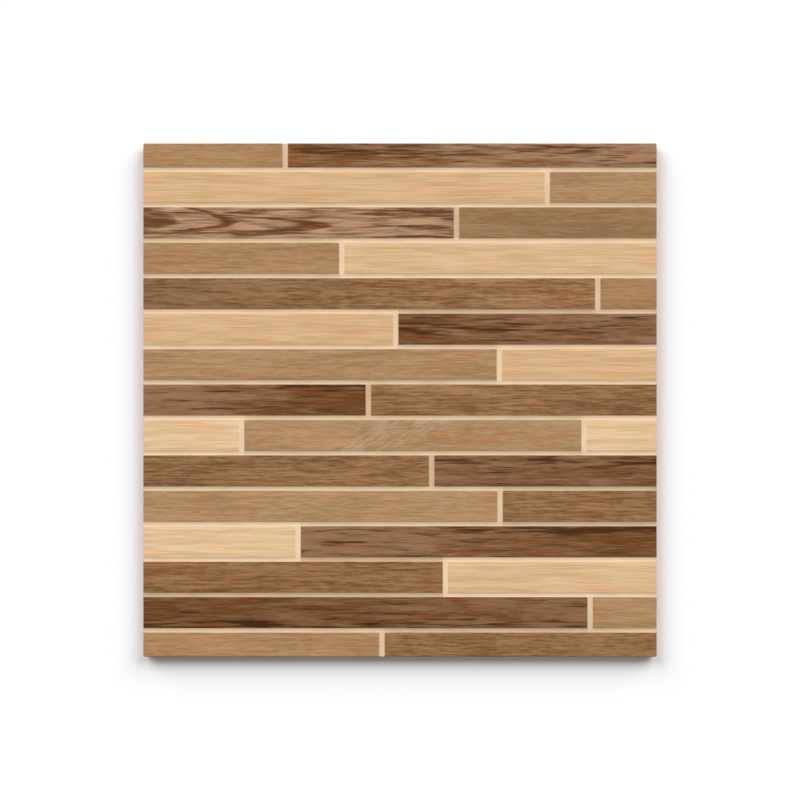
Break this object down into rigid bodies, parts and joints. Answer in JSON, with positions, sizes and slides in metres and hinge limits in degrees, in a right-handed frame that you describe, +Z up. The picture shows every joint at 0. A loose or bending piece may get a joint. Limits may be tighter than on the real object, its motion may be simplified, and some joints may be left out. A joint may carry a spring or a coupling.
{
  "type": "ceramic floor tile",
  "caption": "Square glazed ceramic floor tile whose face imitates staggered wood strips parted by shallow pressed joints, with a ribbed back that keys into adhesive.",
  "frame": {"origin": "centre of the tile's back, on the plane of the ribs that meets the floor or the adhesive bed", "axes": "+X along the wood strips, +Y towards the row at the picture's top edge, +Z up out of the glazed face"},
  "size_m": [0.3, 0.3, 0.008],
  "materials": {
    "glazed_tile": "satin"
  },
  "bodies": {
    "root": {"floor_tile": "glazed_tile"}
  },
  "joints": []
}
